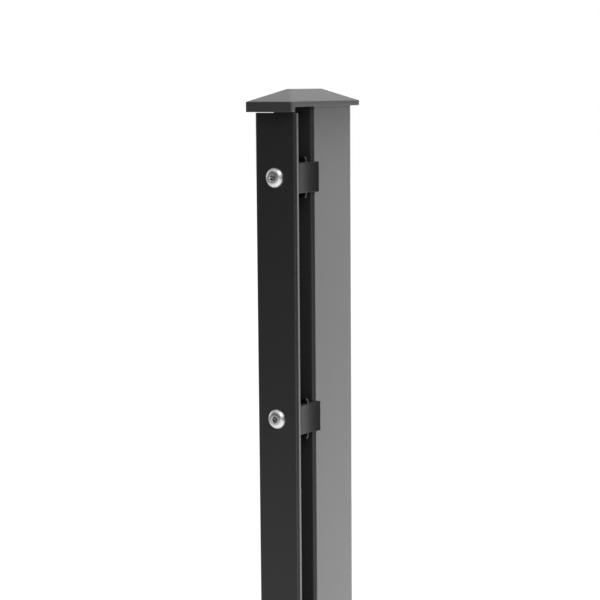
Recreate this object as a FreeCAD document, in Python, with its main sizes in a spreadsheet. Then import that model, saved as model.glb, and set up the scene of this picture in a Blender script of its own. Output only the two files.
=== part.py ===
"""Fence post for double-wire mesh panels: square-cut tube, cover strip, spacer clips, screws and roof cap.

Frame: +Z up, origin on the tube's axis at its foot end, the cover strip on the -Y side. Millimetres.
"""

import os

import FreeCAD
import Part
import Sketcher
from FreeCAD import Vector

SIZES = {
    "tube_width": 40.0,
    "tube_depth": 60.0,
    "tube_wall": 2.0,
    "tube_corner": 3.0,
    "tube_length": 1500.0,
    "fixing_count": 6,
    "fixing_pitch": 200.0,
    "fixing_drop": 60.0,
    "mesh_gap": 20.0,
    "strip_width": 40.0,
    "strip_thickness": 5.0,
    "strip_front_round": 2.6,
    "strip_back_round": 0.4,
    "strip_end_round": 0.5,
    "strip_bore": 9.0,
    "strip_cap_gap": 0.6,
    "strip_tail": 30.0,
    "clip_height": 25.0,
    "clip_tube_fit": 0.15,
    "clip_wing_depth": 6.0,
    "clip_wing_end": 3.3,
    "clip_straight_side": 6.0,
    "clip_wing_round": 1.2,
    "clip_rim_round": 0.8,
    "clip_lip_rise": 4.5,
    "clip_lip_thickness": 1.4,
    "clip_lip_root": 1.0,
    "clip_hook_radius": 2.8,
    "clip_bore": 8.6,
    "clip_flange_space": 0.5,
    "thread_size": 8.0,
    "thread_fit": 0.05,
    "screw_length": 40.0,
    "screw_tip_chamfer": 1.0,
    "head_size": 17.5,
    "head_rim": 1.1,
    "head_height": 4.2,
    "head_flat": 8.4,
    "socket_size": 5.0,
    "socket_depth": 2.6,
    "socket_pin": 2.0,
    "socket_pin_drop": 0.4,
    "nut_body": 11.0,
    "nut_hole_fit": 0.1,
    "nut_flange": 14.0,
    "nut_flange_thickness": 1.5,
    "nut_length": 16.0,
    "nut_bulge": 14.4,
    "nut_bulge_length": 3.6,
    "cap_fit": 0.5,
    "cap_side_wall": 2.2,
    "cap_end_wall": 2.0,
    "cap_skin": 2.5,
    "cap_front_overhang": 8.9,
    "cap_back_overhang": 8.5,
    "cap_lip_height": 4.2,
    "cap_hood_drop": 4.1,
    "cap_hood_depth": 5.5,
    "cap_corner": 1.5,
    "cap_inner_corner": 0.8,
    "cap_roof_rise": 10.1,
    "cap_front_hip": 29.0,
    "cap_back_hip": 26.5,
    "cap_ridge_width": 5.0,
    "cap_ridge_round": 2.2,
    "cap_eaves_round": 0.8,
    "cap_hood_round": 0.6,
    "cap_rim_round": 1.0,
    "cap_skirt_depth": 14.0,
    "cap_skirt_wall": 1.6,
    "cap_skirt_fit": 0.3,
    "cap_skirt_lead": 0.8,
}

# Places that several pieces share, written with the sheet's values.
TUBE_HALF = "Sizes.tube_width / 2"
TUBE_FRONT = "Sizes.tube_depth / 2"
STRIP_BACK = f"({TUBE_FRONT} + Sizes.mesh_gap)"
STRIP_FRONT = f"({STRIP_BACK} + Sizes.strip_thickness)"
GAP_MIDDLE = f"({TUBE_FRONT} + Sizes.mesh_gap / 2)"
FIRST_FIXING = "(Sizes.tube_length - Sizes.fixing_drop)"
FIXING_SPAN = "((Sizes.fixing_count - 1) * Sizes.fixing_pitch)"
CAP_HALF = f"({TUBE_HALF} + Sizes.cap_fit + Sizes.cap_side_wall)"
CAP_FRONT = f"({STRIP_FRONT} + Sizes.cap_front_overhang)"
CAP_BACK = "(Sizes.tube_depth / 2 + Sizes.cap_back_overhang)"
ROOF_SLOPE = f"(Sizes.cap_roof_rise / ({CAP_HALF} - Sizes.cap_ridge_width / 2))"
# The roof's underside meets the tube's top edge, so the lip's top follows from the skin.
LIP_TOP = f"(Sizes.cap_skin - {ROOF_SLOPE} * Sizes.cap_side_wall)"
LIP_BOTTOM = f"({LIP_TOP} - Sizes.cap_lip_height)"
HOOD_BOTTOM = f"({LIP_BOTTOM} - Sizes.cap_hood_drop)"

ORIGIN_POINT = (-1, 1)
SHEET_ROWS_START = 1
NEAR = 1e-4
UPRIGHT = Vector(0, 0, 1)
FORE_AND_AFT = Vector(0, 1, 0)
# A cut goes this many times as deep as the wall that it passes through.
RIGHT_THROUGH = 1.5

doc = FreeCAD.newDocument("FencePost")


def make_sheet():
    """Write every driving size into the sheet, one row each, with its name as the alias."""
    sheet = doc.addObject("Spreadsheet::Sheet", "Sizes")
    for row, (name, value) in enumerate(SIZES.items(), SHEET_ROWS_START):
        sheet.set(f"A{row}", name)
        sheet.set(f"B{row}", str(value))
        sheet.setAlias(f"B{row}", name)
    doc.recompute()
    return sheet


sizes = make_sheet()


def number(expression):
    """The value of an expression over the sheet, as a plain number."""
    return float(sizes.evalExpression(expression.replace("Sizes.", "")))


def bind(item, prop, expression):
    """Tie one property of an object to the sheet."""
    item.setExpression(prop, expression)


def new_body(label):
    """A body whose name in the tree is the name of the piece."""
    body = doc.addObject("PartDesign::Body", label)
    body.Label = label
    return body


def new_sketch(body, name, plane, offset=None):
    """A sketch on one of the body's own origin planes, moved along that plane's normal."""
    support = [item for item in body.Origin.OriginFeatures if item.Role == plane][0]
    sketch = body.newObject("Sketcher::SketchObject", f"{body.Name}_{name}")
    sketch.AttachmentSupport = [(support, "")]
    sketch.MapMode = "FlatFace"
    if offset:
        bind(sketch, "AttachmentOffset.Base.z", offset)
    return sketch


def dimension(sketch, kind, where, expression):
    """Add a dimension to the sketch and tie it to the sheet."""
    index = sketch.addConstraint(Sketcher.Constraint(kind, *where, number(expression)))
    bind(sketch, f"Constraints[{index}]", expression)


def fix_point(sketch, geometry, end, across, along):
    """Place one end of a sketch line or arc by its two coordinates."""
    dimension(sketch, "DistanceX", (*ORIGIN_POINT, geometry, end), across)
    dimension(sketch, "DistanceY", (*ORIGIN_POINT, geometry, end), along)


def circle(sketch, across, along, diameter):
    """A circle by its centre and diameter."""
    centre = Vector(number(across), number(along), 0)
    item = sketch.addGeometry(Part.Circle(centre, Vector(0, 0, 1), number(diameter) / 2))
    dimension(sketch, "Diameter", (item,), diameter)
    fix_point(sketch, item, 3, across, along)
    return item


def polygon(sketch, corners):
    """A closed run of straight lines through corners given as pairs of expressions."""
    points = [Vector(number(across), number(along), 0) for across, along in corners]
    count = len(points)
    lines = [sketch.addGeometry(Part.LineSegment(points[k], points[(k + 1) % count])) for k in range(count)]
    for k, line in enumerate(lines):
        sketch.addConstraint(Sketcher.Constraint("Coincident", line, 2, lines[(k + 1) % count], 1))
        fix_point(sketch, line, 1, *corners[k])
    return lines


def rounded_rectangle(sketch, left, right, low, high, radius, rounded=(0, 1, 2, 3)):
    """A rectangle with equal rounded corners, counted anticlockwise from the low right one.

    Its sides are given as expressions. A corner that isn't in rounded stays square.
    """
    x0, x1, y0, y1 = (number(side) for side in (left, right, low, high))
    corners = [Vector(x1, y0, 0), Vector(x1, y1, 0), Vector(x0, y1, 0), Vector(x0, y0, 0)]
    along = [Vector(1, 0, 0), Vector(0, 1, 0), Vector(-1, 0, 0), Vector(0, -1, 0)]
    reach = [number(radius) if k in rounded else 0 for k in range(4)]
    lines, arcs = [], {}
    for k in range(4):
        start = corners[k - 1] + along[k] * reach[k - 1]
        stop = corners[k] - along[k] * reach[k]
        lines.append(sketch.addGeometry(Part.LineSegment(start, stop)))
    for k in rounded:
        onward = along[(k + 1) % 4]
        centre = corners[k] - along[k] * reach[k] + onward * reach[k]
        middle = centre + (along[k] - onward).normalize() * reach[k]
        ends = (corners[k] - along[k] * reach[k], corners[k] + onward * reach[k])
        arcs[k] = sketch.addGeometry(Part.Arc(ends[0], middle, ends[1]))
    for k in range(4):
        following = lines[(k + 1) % 4]
        if k in arcs:
            sketch.addConstraint(Sketcher.Constraint("Tangent", lines[k], 2, arcs[k], 1))
            sketch.addConstraint(Sketcher.Constraint("Tangent", arcs[k], 2, following, 1))
            dimension(sketch, "Radius", (arcs[k],), radius)
        else:
            sketch.addConstraint(Sketcher.Constraint("Coincident", lines[k], 2, following, 1))
    for k, kind in enumerate(("Horizontal", "Vertical", "Horizontal", "Vertical")):
        sketch.addConstraint(Sketcher.Constraint(kind, lines[k]))
    sides = (("DistanceY", low), ("DistanceX", right), ("DistanceY", high), ("DistanceX", left))
    for k, (kind, side) in enumerate(sides):
        dimension(sketch, kind, (*ORIGIN_POINT, lines[k], 1), side)


def pad(body, name, sketch, length, reverse=False):
    """Material raised from a sketch."""
    item = body.newObject("PartDesign::Pad", f"{body.Name}_{name}")
    item.Profile = sketch
    item.Reversed = reverse
    bind(item, "Length", length)
    body.Tip = item
    return item


def pocket(body, name, sketch, depth, reverse=False):
    """Material cut away from a sketch."""
    item = body.newObject("PartDesign::Pocket", f"{body.Name}_{name}")
    item.Profile = sketch
    item.Reversed = reverse
    bind(item, "Length", depth)
    body.Tip = item
    return item


def loft(body, name, kind, first, last):
    """A straight-sided loft between two sketches, added or cut."""
    item = body.newObject(f"PartDesign::{kind}Loft", f"{body.Name}_{name}")
    item.Profile = first
    item.Sections = [last]
    item.Ruled = True
    body.Tip = item
    return item


def along_fixings(body, name, feature, sketch):
    """Repeat a feature downwards, once for each fixing."""
    item = body.newObject("PartDesign::LinearPattern", f"{body.Name}_{name}")
    item.Originals = [feature]
    item.Direction = (sketch, ["V_Axis"])
    item.Reversed = True
    bind(item, "Length", FIXING_SPAN)
    bind(item, "Occurrences", "Sizes.fixing_count")
    body.Tip = item
    return item


def edges_where(feature, test):
    """Names of a feature's edges whose shape passes the test."""
    return [f"Edge{k}" for k, edge in enumerate(feature.Shape.Edges, 1) if test(edge)]


def round_edges(body, name, base, test, radius):
    """Round the edges of a feature that pass the test."""
    doc.recompute()
    item = body.newObject("PartDesign::Fillet", f"{body.Name}_{name}")
    item.Base = (base, edges_where(base, test))
    bind(item, "Radius", radius)
    body.Tip = item
    return item


def is_along(edge, axis):
    """Whether an edge is straight and runs along an axis."""
    if not isinstance(edge.Curve, Part.Line):
        return False
    return abs(abs(edge.Curve.Direction.dot(axis)) - 1) < NEAR


def lies_at(edge, level):
    """Whether the whole of an edge is at one height."""
    box = edge.BoundBox
    return abs(box.ZMin - level) < NEAR and abs(box.ZMax - level) < NEAR


def revolve(body, name, sketch):
    """Turn a sketch about its own upright axis."""
    item = body.newObject("PartDesign::Revolution", f"{body.Name}_{name}")
    item.Profile = sketch
    item.ReferenceAxis = (sketch, ["V_Axis"])
    item.Angle = 360
    body.Tip = item
    return item


def make_tube():
    """Rectangular hollow section with a row of rivet-nut holes in its front wall."""
    body = new_body("post_tube")
    outer = new_sketch(body, "outer", "XY_Plane")
    rounded_rectangle(outer, f"-{TUBE_HALF}", TUBE_HALF, f"-{TUBE_FRONT}", TUBE_FRONT, "Sizes.tube_corner")
    pad(body, "bar", outer, "Sizes.tube_length")

    inner = new_sketch(body, "inner", "XY_Plane")
    half, front = f"({TUBE_HALF} - Sizes.tube_wall)", f"({TUBE_FRONT} - Sizes.tube_wall)"
    rounded_rectangle(inner, f"-{half}", half, f"-{front}", front, "Sizes.tube_corner - Sizes.tube_wall")
    pocket(body, "bore", inner, "Sizes.tube_length", reverse=True)

    hole = new_sketch(body, "hole", "XZ_Plane", TUBE_FRONT)
    circle(hole, "0", FIRST_FIXING, "Sizes.nut_body + Sizes.nut_hole_fit")
    cut = pocket(body, "nut_hole", hole, f"Sizes.tube_wall * {RIGHT_THROUGH}")
    along_fixings(body, "nut_holes", cut, hole)
    return body


def make_strip():
    """Flat cover bar with softened front edges and one clearance hole for each fixing."""
    body = new_body("cover_strip")
    low = f"-({FIXING_SPAN} + Sizes.strip_tail)"
    rise = f"(Sizes.fixing_drop + {HOOD_BOTTOM} - Sizes.strip_cap_gap)"
    half = "Sizes.strip_width / 2"
    section = new_sketch(body, "section", "XY_Plane", low)
    face, rear = f"-{STRIP_FRONT}", f"-{STRIP_BACK}"
    polygon(section, [(f"-{half}", face), (half, face), (half, rear), (f"-{half}", rear)])
    bar = pad(body, "bar", section, f"{rise} + {FIXING_SPAN} + Sizes.strip_tail")

    ends = number(low), number(rise)

    def long_edges(depth):
        """A test for the bar's two long edges on its face or at its back."""
        return lambda edge: is_along(edge, UPRIGHT) and abs(edge.CenterOfMass.y - number(depth)) < NEAR

    def is_end(edge):
        """Whether an edge goes round one of the bar's ends."""
        return any(lies_at(edge, end) for end in ends)

    front = round_edges(body, "front_round", bar, long_edges(face), "Sizes.strip_front_round")
    back = round_edges(body, "back_round", front, long_edges(rear), "Sizes.strip_back_round")
    round_edges(body, "end_round", back, is_end, "Sizes.strip_end_round")

    hole = new_sketch(body, "hole", "XZ_Plane", STRIP_FRONT)
    circle(hole, "0", "0", "Sizes.strip_bore")
    cut = pocket(body, "screw_hole", hole, f"Sizes.strip_thickness * {RIGHT_THROUGH}")
    along_fixings(body, "screw_holes", cut, hole)
    bind(body, "Placement.Base.z", FIRST_FIXING)
    return body


def at_fixing(body, index):
    """Stand a piece at the height of one fixing, counted from the top."""
    bind(body, "Placement.Base.z", f"{FIRST_FIXING} - {index} * Sizes.fixing_pitch")


def clip_outline(sketch):
    """The clip seen from above: a block in the mesh gap with two flared wings beside the tube."""
    half = TUBE_HALF
    flare_start = f"-({STRIP_BACK} - Sizes.clip_straight_side)"
    inner = f"({TUBE_HALF} + Sizes.clip_tube_fit)"
    outer = f"({inner} + Sizes.clip_wing_end)"
    end = f"-({TUBE_FRONT} - Sizes.clip_wing_depth)"
    front, rear = f"-{STRIP_BACK}", f"-{TUBE_FRONT}"

    def side(sign):
        """The points down one side, from the strip to the wing's end and back to the tube."""
        return [(f"{sign}{half}", front), (f"{sign}{half}", flare_start), (f"{sign}{outer}", end),
                (f"{sign}{inner}", end), (f"{sign}{inner}", rear)]

    right, left = side(""), side("-")
    corners = right + left[::-1]
    points = [Vector(number(across), number(along), 0) for across, along in corners]
    run = number(f"{end} - {flare_start}")
    reach = number(f"{outer} - {half}")
    radius = (run ** 2 + reach ** 2) / (2 * reach)
    flares = {1: 1, 7: -1}
    items = []
    for k, start in enumerate(points):
        stop = points[(k + 1) % len(points)]
        if k in flares:
            sign = flares[k]
            base = points[1] if sign > 0 else points[8]
            centre = base + Vector(sign * radius, 0, 0)
            chord = (start + stop) / 2 - centre
            through = centre + chord.normalize() * radius
            items.append(sketch.addGeometry(Part.Arc(start, through, stop)))
        else:
            items.append(sketch.addGeometry(Part.LineSegment(start, stop)))
    # An arc always runs anticlockwise, so both of these start at the far end from the walk round the outline.
    starts = {k: (2 if k in flares else 1) for k in range(len(points))}
    stops = {k: (1 if k in flares else 2) for k in range(len(points))}
    smooth = (0, 7)
    for k in range(len(points)):
        following = (k + 1) % len(points)
        kind = "Tangent" if k in smooth else "Coincident"
        joined = (items[k], stops[k], items[following], starts[following])
        sketch.addConstraint(Sketcher.Constraint(kind, *joined))
    for k, (across, along) in enumerate(corners):
        fix_point(sketch, items[k], starts[k], across, along)


def clip_lip_profile(sketch):
    """Side view of the hooked lip that stands between the mesh's two level wires."""
    top = "Sizes.clip_height / 2"
    centre_y = f"-({GAP_MIDDLE} + Sizes.clip_hook_radius / 2)"
    centre_z = f"({top} + Sizes.clip_lip_rise - Sizes.clip_hook_radius)"
    inner = "(Sizes.clip_hook_radius - Sizes.clip_lip_thickness)"
    root = f"({top} - Sizes.clip_lip_root)"
    centre = Vector(number(centre_y), number(centre_z), 0)
    foot = number(root)

    def hook(radius):
        """A quarter circle about the shared centre, from beside it to above it."""
        reach = number(radius)
        directions = (Vector(1, 0, 0), Vector(1, 1, 0).normalize(), Vector(0, 1, 0))
        return sketch.addGeometry(Part.Arc(*(centre + direction * reach for direction in directions)))

    def upright(radius):
        """The straight run from the root up to a hook's start."""
        across = centre.x + number(radius)
        return sketch.addGeometry(Part.LineSegment(Vector(across, foot, 0), Vector(across, centre.y, 0)))

    radii = ("Sizes.clip_hook_radius", inner)
    back_line, front_line = upright(radii[0]), upright(radii[1])
    back_arc, front_arc = hook(radii[0]), hook(radii[1])
    tip_ends = [centre + Vector(0, number(radius), 0) for radius in radii]
    base_ends = [Vector(centre.x + number(radius), foot, 0) for radius in reversed(radii)]
    tip, base = (sketch.addGeometry(Part.LineSegment(*ends)) for ends in (tip_ends, base_ends))
    for line, arc, radius in ((back_line, back_arc, radii[0]), (front_line, front_arc, inner)):
        sketch.addConstraint(Sketcher.Constraint("Tangent", line, 2, arc, 1))
        dimension(sketch, "Radius", (arc,), radius)
        sketch.addConstraint(Sketcher.Constraint("Vertical", line))
        dimension(sketch, "DistanceY", (*ORIGIN_POINT, line, 1), root)
    fix_point(sketch, back_arc, 3, centre_y, centre_z)
    meetings = [(back_arc, 2, tip, 1), (front_arc, 2, tip, 2), (front_arc, 3, back_arc, 3)]
    meetings += [(front_line, 1, base, 1), (back_line, 1, base, 2)]
    for pair in meetings:
        sketch.addConstraint(Sketcher.Constraint("Coincident", *pair))
    sketch.addConstraint(Sketcher.Constraint("Vertical", tip))
    dimension(sketch, "DistanceX", (*ORIGIN_POINT, tip, 1), centre_y)


def make_clip(index):
    """Moulded spacer: block in the gap, wings that stop it turning, and a hooked lip above and below."""
    body = new_body(f"spacer_clip_{index + 1}")
    outline = new_sketch(body, "outline", "XY_Plane", "-Sizes.clip_height / 2")
    clip_outline(outline)
    block = pad(body, "block", outline, "Sizes.clip_height")
    wing_end = -number(f"{TUBE_FRONT} - Sizes.clip_wing_depth")
    wing_middle = number(f"{TUBE_HALF} + Sizes.clip_tube_fit + Sizes.clip_wing_end / 2")
    rim = number("Sizes.clip_height / 2")
    side = number(TUBE_HALF)

    def is_wing_corner(edge):
        """Whether an edge is the outer upright corner of a wing's end."""
        middle = edge.CenterOfMass
        return is_along(edge, UPRIGHT) and abs(middle.y - wing_end) < NEAR and abs(middle.x) > wing_middle

    def is_rim(edge):
        """Whether an edge is on the outside of the block's top or bottom face."""
        box = edge.BoundBox
        outside = min(abs(box.XMin), abs(box.XMax)) > side - NEAR and box.XMin * box.XMax > 0
        inner = is_along(edge, FORE_AND_AFT) and abs(edge.CenterOfMass.x) > side + NEAR
        return outside and not inner and (lies_at(edge, rim) or lies_at(edge, -rim))

    rounded = round_edges(body, "wing_round", block, is_wing_corner, "Sizes.clip_wing_round")
    round_edges(body, "rim_round", rounded, is_rim, "Sizes.clip_rim_round")

    lip = new_sketch(body, "lip", "YZ_Plane", f"-{TUBE_HALF}")
    clip_lip_profile(lip)
    upper = pad(body, "upper_lip", lip, "Sizes.tube_width")
    lower = body.newObject("PartDesign::Mirrored", f"{body.Name}_lower_lip")
    lower.Originals = [upper]
    level = [item for item in body.Origin.OriginFeatures if item.Role == "XY_Plane"][0]
    lower.MirrorPlane = (level, [""])
    body.Tip = lower

    bore = new_sketch(body, "bore", "XZ_Plane", STRIP_BACK)
    circle(bore, "0", "0", "Sizes.clip_bore")
    pocket(body, "screw_bore", bore, "Sizes.mesh_gap")
    seat = new_sketch(body, "seat", "XZ_Plane", TUBE_FRONT)
    circle(seat, "0", "0", "Sizes.nut_flange + 2 * Sizes.clip_flange_space")
    pocket(body, "flange_seat", seat, "Sizes.nut_flange_thickness + Sizes.clip_flange_space", reverse=True)
    at_fixing(body, index)
    return body


def dome_profile(sketch, corners, dome):
    """A closed outline of straight sides, one of which is an arc that meets the next side smoothly."""
    points = [Vector(number(across), number(along), 0) for across, along in corners]
    count = len(points)
    items = []
    for k, start in enumerate(points):
        stop = points[(k + 1) % count]
        if k == dome:
            run, rise = start.x - stop.x, start.y - stop.y
            centre = stop + Vector(0, (run ** 2 + rise ** 2) / (2 * rise), 0)
            middle = centre + ((start + stop) / 2 - centre).normalize() * (centre - stop).Length
            items.append(sketch.addGeometry(Part.Arc(stop, middle, start)))
        else:
            items.append(sketch.addGeometry(Part.LineSegment(start, stop)))
    for k in range(count):
        following = (k + 1) % count
        end = 1 if k == dome else 2
        begin = 2 if following == dome else 1
        kind = "Tangent" if k == dome else "Coincident"
        sketch.addConstraint(Sketcher.Constraint(kind, items[k], end, items[following], begin))
        fix_point(sketch, items[k], 2 if k == dome else 1, *corners[k])


def make_screw(index):
    """Flanged dome-head screw with a pinned hexagon socket."""
    body = new_body(f"clamp_screw_{index + 1}")
    under, tip = f"-{STRIP_FRONT}", f"(Sizes.screw_length - {STRIP_FRONT})"
    rim, crown = f"-({STRIP_FRONT} + Sizes.head_rim)", f"-({STRIP_FRONT} + Sizes.head_height)"
    shank, head, flat = "Sizes.thread_size / 2", "Sizes.head_size / 2", "Sizes.head_flat / 2"
    point, chamfer_start = f"{shank} - Sizes.screw_tip_chamfer", f"{tip} - Sizes.screw_tip_chamfer"
    corners = [("0", tip), (point, tip), (shank, chamfer_start), (shank, under), (head, under), (head, rim),
               (flat, crown), ("0", crown)]
    profile = new_sketch(body, "profile", "XY_Plane")
    dome_profile(profile, corners, corners.index((head, rim)))
    revolve(body, "turned", profile)

    socket = new_sketch(body, "socket", "XZ_Plane", f"{STRIP_FRONT} + Sizes.head_height")
    corner, half_corner = "Sizes.socket_size / sqrt(3)", "Sizes.socket_size / (2 * sqrt(3))"
    flat_half = "Sizes.socket_size / 2"
    upper = [(corner, "0"), (half_corner, flat_half), (f"-{half_corner}", flat_half)]
    lower = [(f"-{corner}", "0"), (f"-{half_corner}", f"-{flat_half}"), (half_corner, f"-{flat_half}")]
    polygon(socket, upper + lower)
    circle(socket, "0", "0", "Sizes.socket_pin")
    pocket(body, "socket_cut", socket, "Sizes.socket_depth")
    pin = new_sketch(body, "pin_top", "XZ_Plane", f"{STRIP_FRONT} + Sizes.head_height")
    circle(pin, "0", "0", "Sizes.socket_pin + Sizes.thread_fit")
    pocket(body, "pin_cut", pin, "Sizes.socket_pin_drop")
    at_fixing(body, index)
    return body


def make_nut(index):
    """Blind rivet nut: flange on the tube's face, and a bulge that grips behind its wall."""
    body = new_body(f"rivet_nut_{index + 1}")
    bore, barrel = "(Sizes.thread_size / 2 + Sizes.thread_fit)", "Sizes.nut_body / 2"
    flange, bulge = "Sizes.nut_flange / 2", "Sizes.nut_bulge / 2"
    face, seat = f"-({TUBE_FRONT} + Sizes.nut_flange_thickness)", f"-{TUBE_FRONT}"
    wall = f"-({TUBE_FRONT} - Sizes.tube_wall)"
    crimp = f"({wall} + Sizes.nut_bulge_length)"
    taper = f"({crimp} + {bulge} - {barrel})"
    end = f"(Sizes.nut_length - {TUBE_FRONT})"
    profile = new_sketch(body, "profile", "XY_Plane")
    corners = [(bore, face), (flange, face), (flange, seat), (barrel, seat), (barrel, wall), (bulge, wall),
               (bulge, crimp), (barrel, taper), (barrel, end), (bore, end)]
    polygon(profile, corners)
    revolve(body, "turned", profile)
    at_fixing(body, index)
    return body


def cap_sketch(body, name, level, inset=None, radius="Sizes.cap_corner"):
    """The cap's plan at one height, full size or moved in by its walls."""
    sketch = new_sketch(body, name, "XY_Plane", level)
    side, end = inset or ("0", "0")
    half = f"({CAP_HALF} - {side})"
    front, back = (f"({edge} - {end})" for edge in (CAP_FRONT, CAP_BACK))
    rounded_rectangle(sketch, f"-{half}", half, f"-{front}", back, radius)
    return sketch


def cap_ridge(body, name, level):
    """The roof's ridge, a narrow flat whose ends stand in from the cap's ends by the hips."""
    sketch = new_sketch(body, name, "XY_Plane", level)
    half = "Sizes.cap_ridge_width / 2"
    front, back = f"-({CAP_FRONT} - Sizes.cap_front_hip)", f"({CAP_BACK} - Sizes.cap_back_hip)"
    rounded_rectangle(sketch, f"-{half}", half, front, back, "Sizes.cap_ridge_round")
    return sketch


def make_cap():
    """Moulded roof cap: hipped roof over tube and strip, a hood in front, a skirt inside the tube."""
    body = new_body("post_cap")
    walls = ("Sizes.cap_side_wall", "Sizes.cap_end_wall")
    pad(body, "lip", cap_sketch(body, "plan", LIP_BOTTOM), "Sizes.cap_lip_height")
    ridge_top = f"({LIP_TOP} + Sizes.cap_roof_rise)"
    outer_eaves = cap_sketch(body, "eaves", LIP_TOP)
    loft(body, "roof", "Additive", outer_eaves, cap_ridge(body, "ridge", ridge_top))

    hood = new_sketch(body, "hood_plan", "XY_Plane", HOOD_BOTTOM)
    hood_back = f"-({CAP_FRONT} - Sizes.cap_hood_depth)"
    plan = (f"-{CAP_HALF}", CAP_HALF, f"-{CAP_FRONT}", hood_back)
    rounded_rectangle(hood, *plan, "Sizes.cap_corner", rounded=(0, 3))
    shell = pad(body, "hood", hood, "Sizes.cap_hood_drop")
    eaves, hood_foot, lip_foot = number(LIP_TOP), number(HOOD_BOTTOM), number(LIP_BOTTOM)
    back_of_hood = number(hood_back)

    def is_level(height):
        """A test for the edges at one height."""
        return lambda edge: lies_at(edge, height)

    def is_rim(edge):
        """Whether an edge is on the outside of the lip's foot, behind the hood."""
        return lies_at(edge, lip_foot) and edge.BoundBox.YMax > back_of_hood + NEAR

    softened = round_edges(body, "eaves_round", shell, is_level(eaves), "Sizes.cap_eaves_round")
    hooded = round_edges(body, "hood_round", softened, is_level(hood_foot), "Sizes.cap_hood_round")
    round_edges(body, "rim_round", hooded, is_rim, "Sizes.cap_rim_round")

    hollow = cap_sketch(body, "hollow_plan", HOOD_BOTTOM, walls, "Sizes.cap_inner_corner")
    pocket(body, "hollow", hollow, f"-{HOOD_BOTTOM}", reverse=True)
    inner_eaves = cap_sketch(body, "inner_eaves", None, walls, "Sizes.cap_inner_corner")
    inner_ridge = cap_ridge(body, "inner_ridge", f"({ridge_top} - Sizes.cap_skin)")
    loft(body, "roof_hollow", "Subtractive", inner_eaves, inner_ridge)

    wall = "Sizes.cap_skirt_wall"
    skirt_half = f"({TUBE_HALF} - Sizes.tube_wall - Sizes.cap_skirt_fit)"
    skirt_front = f"({TUBE_FRONT} - Sizes.tube_wall - Sizes.cap_skirt_fit)"
    bore_half, bore_front = f"({skirt_half} - {wall})", f"({skirt_front} - {wall})"
    bore = (f"-{bore_half}", bore_half, f"-{bore_front}", bore_front, "Sizes.cap_inner_corner")
    deck = new_sketch(body, "deck_plan", "XY_Plane")
    rounded_rectangle(deck, f"-{TUBE_HALF}", TUBE_HALF, f"-{TUBE_FRONT}", TUBE_FRONT, "Sizes.tube_corner")
    rounded_rectangle(deck, *bore)
    pad(body, "deck", deck, "Sizes.cap_skin")
    skirt = new_sketch(body, "skirt_plan", "XY_Plane")
    skirt_corner = "Sizes.tube_corner - Sizes.tube_wall"
    rounded_rectangle(skirt, f"-{skirt_half}", skirt_half, f"-{skirt_front}", skirt_front, skirt_corner)
    rounded_rectangle(skirt, *bore)
    ring = pad(body, "skirt", skirt, "Sizes.cap_skirt_depth", reverse=True)
    foot = -number("Sizes.cap_skirt_depth")
    middles = number(f"{skirt_half} - {wall} / 2"), number(f"{skirt_front} - {wall} / 2")

    def is_lead(edge):
        """Whether an edge is on the outside of the skirt's foot."""
        box = edge.BoundBox
        outside = max(abs(box.Center.x) - middles[0], abs(box.Center.y) - middles[1])
        return lies_at(edge, foot) and outside > 0

    doc.recompute()
    lead = body.newObject("PartDesign::Chamfer", "post_cap_lead")
    lead.Base = (ring, edges_where(ring, is_lead))
    bind(lead, "Size", "Sizes.cap_skirt_lead")
    body.Tip = lead
    bind(body, "Placement.Base.z", "Sizes.tube_length")
    return body


def check_model(pieces):
    """Stop if any object failed to build or any piece isn't one sound solid."""
    for item in doc.Objects:
        if "Invalid" in item.State or "Error" in item.State:
            raise RuntimeError(f"{item.Name} did not build: {item.State}")
    for piece in pieces:
        shape = piece.Shape
        if shape.isNull() or not shape.isValid() or len(shape.Solids) != 1:
            raise RuntimeError(f"{piece.Label} is not one sound solid")


def main():
    """Build every piece, check it and write it to its own file."""
    fixings = int(number("Sizes.fixing_count"))
    pieces = [make_tube(), make_strip(), make_cap()]
    for index in range(fixings):
        pieces += [make_clip(index), make_screw(index), make_nut(index)]
    doc.recompute()
    check_model(pieces)
    os.makedirs("parts", exist_ok=True)
    for piece in pieces:
        piece.Shape.exportStep(f"parts/{piece.Label}.step")
        box = piece.Shape.BoundBox
        print(f"{piece.Label}: {piece.Shape.Volume / 1000:.2f} cm3, z {box.ZMin:.1f} to {box.ZMax:.1f}")


main()
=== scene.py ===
"""Finishes and fixings for a fence post that holds double-wire mesh panels.

The tube, the strip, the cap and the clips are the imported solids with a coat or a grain. The screws and the
rivet nuts are cut here in full detail, where their solids stand. The last step sets up the studio.
"""

import math

import bpy
from bpy.props import FloatProperty, FloatVectorProperty, IntProperty, PointerProperty
from mathutils import Matrix, Vector


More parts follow.
